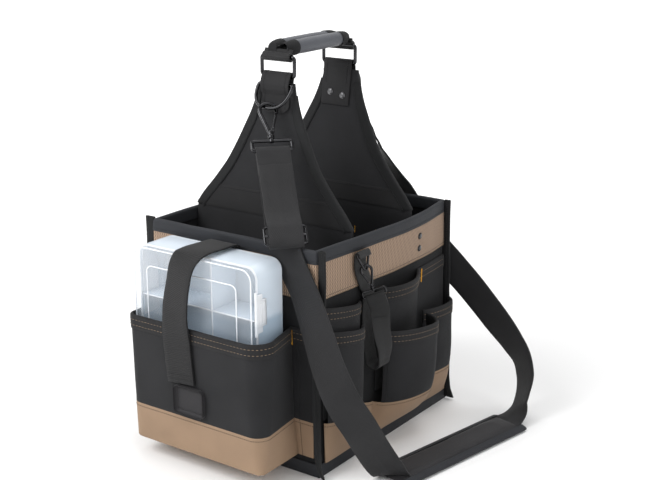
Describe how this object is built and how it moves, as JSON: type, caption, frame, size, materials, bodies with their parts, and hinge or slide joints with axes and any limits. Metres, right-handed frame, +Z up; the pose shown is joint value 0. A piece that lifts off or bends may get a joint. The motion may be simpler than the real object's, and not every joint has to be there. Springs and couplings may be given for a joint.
{
  "type": "tool bag",
  "caption": "Open-top cloth tool bag with bell-shaped dividers, padded carry handle, outside tool pockets, clear compartment case, tape loop and padded shoulder strap.",
  "frame": {"origin": "centre of the base's underside", "axes": "+Z up, -Y towards the case pocket (front), +X towards the small tool pockets (right side)"},
  "size_m": [0.3527, 0.3432, 0.424],
  "materials": {
    "canvas_black": "woven polyester canvas",
    "canvas_tan": "smooth woven polyester",
    "mesh_tan": "open-weave mesh",
    "grosgrain": "ribbed binding tape",
    "webbing": "woven nylon webbing",
    "grip_cloth": "padded cloth with a slight sheen",
    "black_nickel": "glossy black plating",
    "clear_plastic": "clear moulded"
  },
  "bodies": {
    "bag": {"base_tray": "grosgrain", "top_binding": "grosgrain", "wall_front": "canvas_black", "wall_rear": "canvas_black", "wall_left": "canvas_black", "wall_right": "canvas_black", "yoke_band": "mesh_tan", "plain_boot_left": "canvas_tan", "plain_boot_rear": "canvas_tan", "corner_binding_front_left": "grosgrain", "corner_binding_front_right": "grosgrain", "corner_binding_rear_left": "grosgrain", "corner_binding_rear_right": "grosgrain", "upper_pocket_near": "canvas_black", "upper_pocket_rear": "canvas_black", "lower_pocket_near": "canvas_black", "lower_pocket_middle": "canvas_black", "lower_pocket_rear": "canvas_black", "side_boot": "canvas_tan", "case_pocket": "canvas_black", "case_pocket_boot": "canvas_tan", "pocket_patch": "canvas_black", "case_tray": "clear_plastic", "case_lid": "clear_plastic", "case_strap": "webbing", "divider_front": "canvas_black", "divider_binding_front_left": "grosgrain", "divider_binding_front_right": "grosgrain", "tab_front": "webbing", "handle_web_front": "webbing", "strap_front": "webbing", "grip_cuff_front": "canvas_black", "handle_ring_front": "black_nickel", "d_ring_front": "black_nickel", "strap_loop_front": "black_nickel", "strap_hook_front": "black_nickel", "divider_rear": "canvas_black", "divider_binding_rear_left": "grosgrain", "divider_binding_rear_right": "grosgrain", "tab_rear": "webbing", "handle_web_rear": "webbing", "strap_rear": "webbing", "grip_cuff_rear": "canvas_black", "handle_ring_rear": "black_nickel", "d_ring_rear": "black_nickel", "strap_loop_rear": "black_nickel", "strap_hook_rear": "black_nickel", "handle_grip": "grip_cloth", "strap_slider": "black_nickel", "tape_hook": "black_nickel", "tape_ring": "black_nickel", "shoulder_pad": "canvas_black", "tape_strap": "webbing"},
    "strap_gate_front": {"strap_gate_front": "black_nickel"},
    "strap_gate_rear": {"strap_gate_rear": "black_nickel"},
    "tape_gate": {"tape_gate": "black_nickel"},
    "case_latch": {"case_latch": "clear_plastic"}
  },
  "joints": [
    {"name": "strap_gate_front_hinge", "type": "hinge", "parent": "bag", "child": "strap_gate_front", "pos_m": [0.01365, -0.06765, 0.33928], "axis": [0.5633, -0.5238, 0.639], "range_deg": [0, 22], "stiffness_Nm_per_rad": 0.02, "springref_deg": -11.46},
    {"name": "strap_gate_rear_hinge", "type": "hinge", "parent": "bag", "child": "strap_gate_rear", "pos_m": [0.00707, 0.09642, 0.33643], "axis": [0.6846, 0.5596, 0.4671], "range_deg": [0, 22], "stiffness_Nm_per_rad": 0.02, "springref_deg": -11.46},
    {"name": "tape_gate_hinge", "type": "hinge", "parent": "bag", "child": "tape_gate", "pos_m": [0.12296, -0.05408, 0.19153], "axis": [-0.5979, 0.7972, 0.0835], "range_deg": [0, 22], "stiffness_Nm_per_rad": 0.02, "springref_deg": -11.46},
    {"name": "case_latch_hinge", "type": "hinge", "parent": "bag", "child": "case_latch", "pos_m": [0.0739, -0.1755, 0.1825], "axis": [0, 0, -1], "range_deg": [0, 100]}
  ]
}
